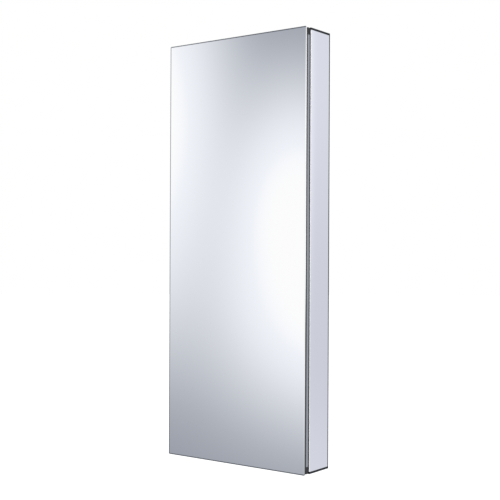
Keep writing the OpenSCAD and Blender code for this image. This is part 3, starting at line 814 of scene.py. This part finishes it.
@dataclass
class DoorLeaf:
    """The door: its two mirrors, the tape, seal and gasket, and the frame between them.

    The front mirror's face is painted a grey rim, which is painted shade, side_rim_shade wide at
    its left edge and end_rim_shade wide at its ends. Its edge has painted shade that darkens it
    below the middle, from edge_shade_from of half its height on, and most at edge_shade_full.
    """

    shop: Workshop
    arris: float = 1.5 * MM
    rear_arris: float = 0.7 * MM
    # Painted shade: the widths of the front mirror's grey rim.
    side_rim_shade: float = 3.8 * MM
    end_rim_shade: float = 3.0 * MM
    # Painted shade: where the front mirror's edge starts to darken and where it is darkest, as
    # shares of its half height.
    edge_shade_from: float = 0.05
    edge_shade_full: float = 0.4
    tape_rounding: float = 0.1 * MM
    # The rounding of the edge seal, a black piece that stands in for the shade in the groove behind
    # the front mirror.
    shade_seal_rounding: float = 0.2 * MM
    frame_rounding: float = 0.3 * MM
    gasket_width: float = 1.0 * MM
    gasket_crown: float = 0.4 * MM
    gasket_facets: int = 4

    def build(self) -> None:
        """Build every piece of the door except its hinges."""
        low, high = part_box("door_mirror")
        # The front mirror has painted shade: a grey rim on its face, and an edge that darkens
        # towards its foot.
        front = MirrorGlass("door_mirror_glass", Facing.FRONT,
                            rim_shade_left=-low.x - self.side_rim_shade, rim_shade_height=high.z - self.end_rim_shade,
                            edge_shade_high=low.z * self.edge_shade_from, edge_shade_low=low.z * self.edge_shade_full)
        rear = MirrorGlass("rear_mirror_glass", Facing.REAR)
        self.shop.pane("door_mirror", front, self.arris)
        self.shop.pane("rear_mirror", rear, self.rear_arris)
        self.shop.dressed("bond_tape", CellFoam(), self.tape_rounding)
        # The edge seal is a black piece that stands in for the shade in the groove behind the front
        # mirror.
        self.shop.dressed("edge_seal", CellFoam(), self.shade_seal_rounding)
        self.gasket()
        for side in ("left", "right"):
            self.shop.dressed(f"door_stile_{side}", satin(Grain.ALONG_Z), self.frame_rounding)
        for end in ("top", "bottom"):
            self.shop.dressed(f"door_rail_{end}", satin(Grain.ALONG_X), self.frame_rounding)
            for side in ("left", "right"):
                self.shop.dressed(f"corner_connector_{end}_{side}", MouldedPlastic(),
                                  self.frame_rounding)
        self.shop.dressed("connector_screws", NickelPlate())

    def gasket(self) -> bpy.types.Object:
        """Run one rounded bead round the inside mirror.

        Returns:
            The gasket.
        """
        low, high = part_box("rear_mirror_gasket")
        bm = block(low, high)
        others = [face for face in bm.faces if face.normal.y > -FACING]
        bmesh.ops.delete(bm, geom=others, context="FACES")
        inset = bmesh.ops.inset_region(bm, faces=bm.faces, thickness=self.gasket_width,
                                       use_boundary=True)
        ring = set(inset["faces"])
        middle = [face for face in bm.faces if face not in ring]
        bmesh.ops.delete(bm, geom=middle, context="FACES_ONLY")
        grown = bmesh.ops.extrude_face_region(bm, geom=bm.faces[:], use_keep_orig=True)
        raised = [item for item in grown["geom"] if isinstance(item, bmesh.types.BMVert)]
        bmesh.ops.translate(bm, vec=(0.0, high.y - low.y, 0.0), verts=raised)
        bmesh.ops.recalc_face_normals(bm, faces=bm.faces)
        crown = [edge for edge in sharp_edges(bm)
                 if all(vert.co.y > high.y - TOUCH for vert in edge.verts)]
        bevel(bm, crown, self.gasket_crown, self.gasket_facets)
        bead = self.shop.even(self.shop.make(bm, "rear_mirror_gasket_bead"))
        return self.shop.fit(bead, CellFoam(), "rear_mirror_gasket")


@dataclass
class Carcass:
    """The case: folded walls, panels and back, with their brackets, screws and rivets."""

    shop: Workshop
    sheet_rounding: float = 0.15 * MM

    def build(self) -> None:
        """Build every piece of the folded case."""
        for side in ("left", "right"):
            self.shop.dressed(f"side_wall_{side}", satin(Grain.ALONG_Z))
        for end in ("top", "bottom"):
            self.shop.dressed(f"{end}_panel", satin(Grain.ALONG_X))
            for side in ("left", "right"):
                self.shop.dressed(f"corner_bracket_{end}_{side}", NickelPlate(),
                                  self.sheet_rounding)
        self.shop.dressed("back_panel", satin(Grain.ALONG_Z))
        self.shop.dressed("bracket_screws", NickelPlate())
        self.shop.dressed("back_rivets", NickelPlate(), self.sheet_rounding)


@dataclass
class Cladding:
    """The mirrors on the sides and inside the back, and the dark strips round the side mirrors."""

    shop: Workshop
    arris: float = 1.0 * MM
    back_arris: float = 0.12 * MM
    trim_rounding: float = 0.2 * MM
    # Painted shade: the side mirrors' edges are near black, so that the door gap that they stand in
    # looks dark.
    gap_shade_edge: Colour = (0.03, 0.031, 0.033)
    cool_silver: Colour = (0.963, 0.955, 0.997)

    def build(self) -> None:
        """Build the mirrors of the case and their strips."""
        back = MirrorGlass("back_mirror_glass", Facing.FRONT)
        self.shop.dressed("back_mirror", back, self.back_arris)
        for side, facing in (("left", Facing.LEFT), ("right", Facing.RIGHT)):
            # The side mirrors' edges carry the painted shade of the door gap.
            glass = MirrorGlass(f"side_mirror_glass_{side}", facing, silver=self.cool_silver,
                                edge=self.gap_shade_edge, polished_arris=False)
            self.shop.pane(f"side_mirror_{side}", glass, self.arris)
            self.shop.dressed(f"side_trim_{side}", dark_anodised(Grain.ALONG_Z), self.trim_rounding)


@dataclass
class ShelfSet:
    """The glass shelves and the pins that carry them."""

    shop: Workshop
    count: int = 4
    corner: float = 3.0 * MM
    corner_facets: int = 6
    polish: float = 1.2 * MM
    polish_facets: int = 4
    smooth_deg: float = 50.0
    pin_rounding: float = 0.12 * MM

    def build(self) -> None:
        """Cut the shelves and dress their pins."""
        for number in range(1, self.count + 1):
            self.shelf(f"glass_shelf_{number}")
        self.shop.dressed("shelf_pins", NickelPlate(), self.pin_rounding)

    def shelf(self, node: str) -> bpy.types.Object:
        """Cut a shelf with round corners and a polished edge.

        Args:
            node: the node that it stands for.

        Returns:
            The shelf.
        """
        bm = block(*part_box(node))
        bevel(bm, edges_along(bm, UP), self.corner, self.corner_facets)
        level = [face for face in bm.faces if abs(face.normal.z) > FACING]
        rims = {edge for face in level for edge in face.edges}
        bevel(bm, rims, self.polish, self.polish_facets)
        sheet = self.shop.even(self.shop.make(bm, f"{node}_pane", self.smooth_deg))
        return self.shop.fit(sheet, ShelfGlass(), node)


@dataclass
class HingeSet:
    """The three concealed hinges, with wound closing springs.

    The wire's middle runs at the radius coil round the pin, and its first turn lies start away
    from the middle of the hinge.
    """

    shop: Workshop
    levels: tuple[str, ...] = ("upper", "middle", "lower")
    rounding: float = 0.15 * MM
    pin_rounding: float = 0.2 * MM
    wire: float = 0.55 * MM
    wire_facets: int = 8
    coil: float = 1.85 * MM
    turns: int = 11
    turn_facets: int = 18
    start: float = 7.4 * MM
    pitch: float = 0.72 * MM
    long_leg: float = 10.5 * MM
    short_leg: float = 1.5 * MM
    smooth_deg: float = 60.0

    def build(self) -> None:
        """Build the plates, arms, covers, cups, pins, screws and springs."""
        for level in self.levels:
            for part in ("plate", "arm", "cover", "cup"):
                self.shop.dressed(f"hinge_{part}_{level}", NickelPlate(), self.rounding)
        for screws in ("hinge_plate_screws", "hinge_arm_screws", "hinge_cup_screws"):
            self.shop.dressed(screws, NickelPlate())
        self.shop.dressed("hinge_pins", NickelPlate(), self.pin_rounding)
        self.springs()

    def springs(self) -> bpy.types.Object:
        """Wind two springs round each hinge pin, one on each side of the knuckle.

        Returns:
            The springs.
        """
        low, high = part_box("hinge_pins")
        axis = (low + high) / 2
        bm = bmesh.new()
        for level in self.levels:
            cup_low, cup_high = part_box(f"hinge_cup_{level}")
            centre = Vector((axis.x, axis.y, (cup_low.z + cup_high.z) / 2))
            for side in (1.0, -1.0):
                join(bm, self.spring(centre, side))
        bmesh.ops.recalc_face_normals(bm, faces=bm.faces)
        coils = self.shop.make(bm, "hinge_spring_coils", self.smooth_deg)
        return self.shop.fit(coils, NickelPlate(), "hinge_springs")

    def spring(self, centre: Vector, side: float) -> bmesh.types.BMesh:
        """Wind one spring with a leg at each end.

        Args:
            centre: the middle of the hinge, on its axis.
            side: 1 for the spring above the knuckle and -1 for the one below.

        Returns:
            The spring's mesh.
        """
        bm = bmesh.new()
        first = Matrix.Translation(centre + Vector((0.0, -self.coil, side * self.start)))
        ring = bmesh.ops.create_circle(bm, segments=self.wire_facets, radius=self.wire / 2,
                                       matrix=first @ Matrix.Rotation(QUARTER_TURN, 4, "Y"))
        loop = list({edge for vert in ring["verts"] for edge in vert.link_edges})
        steps = self.turns * self.turn_facets
        self.leg(bm, loop, -self.short_leg)
        wound = bmesh.ops.spin(bm, geom=ring["verts"] + loop, cent=centre, axis=UP,
                               dvec=(0.0, 0.0, side * self.pitch * self.turns / steps),
                               angle=math.tau * self.turns, steps=steps)
        last = [item for item in wound["geom_last"] if isinstance(item, bmesh.types.BMEdge)]
        self.leg(bm, last, self.long_leg)
        bmesh.ops.holes_fill(bm, edges=[edge for edge in bm.edges if edge.is_boundary])
        bmesh.ops.recalc_face_normals(bm, faces=bm.faces)
        return bm

    def leg(self, bm: bmesh.types.BMesh, loop: list[bmesh.types.BMEdge], length: float) -> None:
        """Draw the wire straight on along X.

        Args:
            bm: the spring's mesh.
            loop: the edges round the wire's end.
            length: how far it goes, and below 0 towards -X.
        """
        drawn = bmesh.ops.extrude_edge_only(bm, edges=loop)
        ends = [item for item in drawn["geom"] if isinstance(item, bmesh.types.BMVert)]
        bmesh.ops.translate(bm, vec=(length, 0.0, 0.0), verts=ends)


@dataclass
class Bumpers:
    """Clear domed dots that the door closes against."""

    shop: Workshop
    dome: float = 1.7 * MM
    dome_facets: int = 6
    round_facets: int = 32
    smooth_deg: float = 50.0

    def build(self) -> bpy.types.Object:
        """Mould the dots.

        Returns:
            The dots, as one piece.
        """
        low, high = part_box("door_bumpers")
        radius = (high.x - low.x) / 2
        height = high.y - low.y
        across = (low.x + high.x) / 2
        bm = bmesh.new()
        for level in (low.z + radius, 0.0, high.z - radius):
            place = Matrix.Translation((across, (low.y + high.y) / 2, level))
            dot = bmesh.new()
            bmesh.ops.create_cone(dot, cap_ends=True, segments=self.round_facets, radius1=radius,
                                  radius2=radius, depth=height,
                                  matrix=place @ Matrix.Rotation(QUARTER_TURN, 4, "X"))
            dot.normal_update()
            rim = [edge for edge in sharp_edges(dot)
                   if all(vert.co.y < low.y + TOUCH for vert in edge.verts)]
            bevel(dot, rim, self.dome, self.dome_facets)
            join(bm, dot)
        dots = self.shop.even(self.shop.make(bm, "door_bumper_dots", self.smooth_deg))
        return self.shop.fit(dots, ClearSilicone(), "door_bumpers")


@dataclass(frozen=True)
class SoftLight:
    """A soft patch of light far away, as polished faces see it; its angles are in degrees.

    A bearing of 0 is straight in front of the door, and 90 is on the side of +X. The light is down
    to about a third at half_width and at half_height. The larger the firmness, the flatter the
    patch and the steeper its edge.
    """

    bearing: float
    height: float
    half_width: float
    half_height: float
    strength: float
    firmness: float

    def shadow(self, graph: Graph, way: Signal, elevation: Signal) -> Signal:
        """Return the share of darkness that the light leaves in a direction.

        Args:
            graph: the world's graph.
            way: the direction.
            elevation: its angle above the horizon.

        Returns:
            0 in the middle of a full light and 1 far from it.
        """
        turn = math.radians(self.bearing)
        side = graph.dot(way, (math.cos(turn), math.sin(turn), 0.0))
        ahead = graph.dot(way, (math.sin(turn), -math.cos(turn), 0.0))
        across = side.bearing(ahead) / self.half_width
        up = (elevation - self.height) / self.half_height
        spread = (across * across + up * up) ** self.firmness
        return 1.0 - (spread * -1.0).exp() * self.strength


@dataclass(frozen=True)
class SoftLamp:
    """A square lamp that points at the cabinet, with its side in metres and its power in watts."""

    name: str
    place: Triple
    side: float
    power: float

    def hang(self) -> None:
        """Hang the lamp, so that it doesn't show in what is polished."""
        light = bpy.data.lights.new(self.name, "AREA")
        light.shape = "SQUARE"
        light.size = self.side
        light.energy = self.power
        lamp = bpy.data.objects.new(self.name, light)
        bpy.context.scene.collection.objects.link(lamp)
        lamp.location = self.place
        lamp.rotation_euler = (-Vector(self.place)).to_track_quat("-Z", "Y").to_euler()
        lamp.visible_glossy = False
        lamp.visible_transmission = False


@dataclass
class Studio:
    """The world, the floor, the lamps and the camera.

    White fills a soft light up to the lower darkness of white_span and has gone at the upper one.
    A Glossy Depth above first_bounce is that of a ray that a polished face has turned. The camera
    sees the floor glow by glow_near round the cabinet, and by glow_more on top past glow_span. The
    lens and the sensor are in millimetres, and the camera sees as far as its reach.
    """

    dark: Colour = (0.297, 0.32, 0.373)
    pale: Colour = (0.977, 1.0, 1.05)
    plain: Colour = (0.82, 0.82, 0.82)
    white_span: Span = (0.03, 0.14)
    first_bounce: float = 0.5
    lights: tuple[SoftLight, ...] = (
        # The door's mirror reflects these three towards the photograph's camera.
        SoftLight(-34.0, 2.5, half_width=4.5, half_height=8.0, strength=0.94, firmness=1.5),
        SoftLight(-29.0, -3.5, half_width=11.0, half_height=7.5, strength=1.0, firmness=1.3),
        SoftLight(-44.5, 7.5, half_width=7.0, half_height=13.0, strength=1.0, firmness=1.9),
        # These are for the mirror from straight ahead, its right arris, and the open door's inside.
        SoftLight(8.0, 0.0, half_width=20.0, half_height=34.0, strength=0.75, firmness=1.5),
        SoftLight(60.0, 0.5, half_width=34.0, half_height=11.8, strength=0.98, firmness=3.0),
        SoftLight(101.0, 3.0, half_width=9.0, half_height=14.0, strength=0.85, firmness=1.3),
        # The right side and the stile reflect these four towards the photograph's camera.
        SoftLight(143.0, 0.0, half_width=15.0, half_height=40.0, strength=0.47, firmness=1.5),
        SoftLight(143.0, 12.0, half_width=15.0, half_height=10.3, strength=0.3, firmness=1.3),
        SoftLight(143.0, -15.0, half_width=15.0, half_height=6.0, strength=0.22, firmness=1.3),
        SoftLight(146.4, 9.0, half_width=0.4, half_height=11.0, strength=0.7, firmness=1.3),
        # These are for the left side, and for the door's mirror from far to the right.
        SoftLight(-165.0, 10.0, half_width=30.0, half_height=40.0, strength=0.7, firmness=1.3),
        SoftLight(-75.0, 5.0, half_width=18.0, half_height=25.0, strength=0.7, firmness=1.5),
    )
    lamps: tuple[SoftLamp, ...] = (
        SoftLamp("key_lamp", (1.5, -2.4, 1.7), side=1.6, power=34.0),
        SoftLamp("fill_lamp", (-2.2, -1.8, 0.7), side=1.8, power=16.0),
    )
    floor_z: float = -1.35
    floor_radius: float = 30.0
    floor_facets: int = 96
    floor_colour: Colour = (0.93, 0.93, 0.93)
    glow_near: float = 0.12
    glow_more: float = 0.3
    glow_span: Span = (1.2, 3.5)
    camera_place: Triple = (1.4322, -1.9527, -0.0056)
    azimuth_deg: float = 36.772
    elevation_deg: float = -0.167
    roll_deg: float = 0.255
    lens: float = 72.07
    sensor: float = 36.0
    reach: float = 100.0

    def build(self) -> None:
        """Set up the world, the floor, the lamps and the camera."""
        self.world()
        self.floor()
        for lamp in self.lamps:
            lamp.hang()
        self.camera()

    def world(self) -> None:
        """Light the object evenly, show white behind it and soft lights to what is polished."""
        world = bpy.data.worlds.new("studio")
        bpy.context.scene.world = world
        graph = Graph(world)
        way = graph.add("ShaderNodeTexCoord", {}, {}, "Generated")
        axes = [graph.dot(way, axis) for axis in ((1.0, 0.0, 0.0), (0.0, 1.0, 0.0), UP)]
        elevation = axes[2].bearing((axes[0] * axes[0] + axes[1] * axes[1]).root())
        darkness = self.lights[0].shadow(graph, way, elevation)
        for light in self.lights[1:]:
            darkness = darkness * light.shadow(graph, way, elevation)
        dim = graph.mix(darkness, self.pale, self.dark)
        seen = graph.mix(graph.step(darkness, *self.white_span), WHITE, dim)
        through = graph.ray("Is Transmission Ray")
        mirrored = graph.ray("Glossy Depth") > self.first_bounce
        colour = graph.mix(graph.ray("Is Glossy Ray").either(through * mirrored), self.plain, seen)
        white = graph.ray("Is Camera Ray").either(through * (1.0 - mirrored))
        colour = graph.mix(white, colour, WHITE)
        background = graph.add("ShaderNodeBackground", {}, {"Color": colour})
        graph.finish("ShaderNodeOutputWorld", background)

    def floor(self) -> None:
        """Lay a pale floor that keeps the shadow and doesn't show in what is polished."""
        bm = bmesh.new()
        bmesh.ops.create_circle(bm, cap_ends=True, segments=self.floor_facets,
                                radius=self.floor_radius,
                                matrix=Matrix.Translation((0.0, 0.0, self.floor_z)))
        mesh = bpy.data.meshes.new("studio_floor")
        bm.to_mesh(mesh)
        bm.free()
        floor = bpy.data.objects.new("studio_floor", mesh)
        bpy.context.scene.collection.objects.link(floor)
        material = bpy.data.materials.new("studio_floor")
        graph = Graph(material)
        pale = graph.add("ShaderNodeBsdfDiffuse", {}, {"Color": (*self.floor_colour, 1.0)})
        spot = graph.stretched((1.0, 1.0, 0.0))
        distance = graph.add("ShaderNodeVectorMath", {"operation": "LENGTH"}, {0: spot}, "Value")
        glow = graph.step(distance, *self.glow_span) * self.glow_more + self.glow_near
        lift = graph.add("ShaderNodeEmission", {}, {"Color": (*WHITE, 1.0), "Strength": glow})
        lifted = graph.add("ShaderNodeAddShader", {}, {0: pale, 1: lift})
        seen = graph.add("ShaderNodeMixShader", {},
                         {0: graph.ray("Is Camera Ray"), 1: pale, 2: lifted})
        clear = graph.add("ShaderNodeBsdfTransparent", {}, {})
        below = graph.add("ShaderNodeNewGeometry", {}, {}, "Backfacing")
        unseen = graph.ray("Is Glossy Ray").either(graph.ray("Is Transmission Ray")).either(below)
        surface = graph.add("ShaderNodeMixShader", {}, {0: unseen, 1: seen, 2: clear})
        graph.finish("ShaderNodeOutputMaterial", surface)
        mesh.materials.append(material)

    def camera(self) -> None:
        """Place the camera at the photograph's viewing angle."""
        azimuth = math.radians(self.azimuth_deg)
        elevation = math.radians(self.elevation_deg)
        roll = math.radians(self.roll_deg)
        back = Vector((math.sin(azimuth) * math.cos(elevation),
                       -math.cos(azimuth) * math.cos(elevation), math.sin(elevation)))
        right = (-back).cross(Vector(UP)).normalized()
        up = right.cross(-back)
        across = math.cos(roll) * right + math.sin(roll) * up
        above = math.cos(roll) * up - math.sin(roll) * right
        data = bpy.data.cameras.new("photo_camera")
        data.lens = self.lens
        data.sensor_width = self.sensor
        data.clip_end = self.reach
        camera = bpy.data.objects.new("photo_camera", data)
        bpy.context.scene.collection.objects.link(camera)
        turned = Matrix((across, above, back)).transposed().to_4x4()
        camera.matrix_world = Matrix.Translation(self.camera_place) @ turned
        bpy.context.scene.camera = camera


def main() -> None:
    """Dress the cabinet, one sub-assembly after another, and set up the studio."""
    logging.basicConfig(level=logging.INFO, format="%(name)s: %(message)s")
    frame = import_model()
    slots = {part["node"]: part["material_slot"] for part in frame["record"]["subparts"]}
    shop = Workshop(frame["nodes"], slots)
    for assembly in (DoorLeaf(shop), Carcass(shop), Cladding(shop), ShelfSet(shop), HingeSet(shop),
                     Bumpers(shop), Studio()):
        LOG.info("building %s", type(assembly).__name__)
        assembly.build()
    bpy.context.scene.view_settings.view_transform = "Standard"


if __name__ == "__main__":
    main()
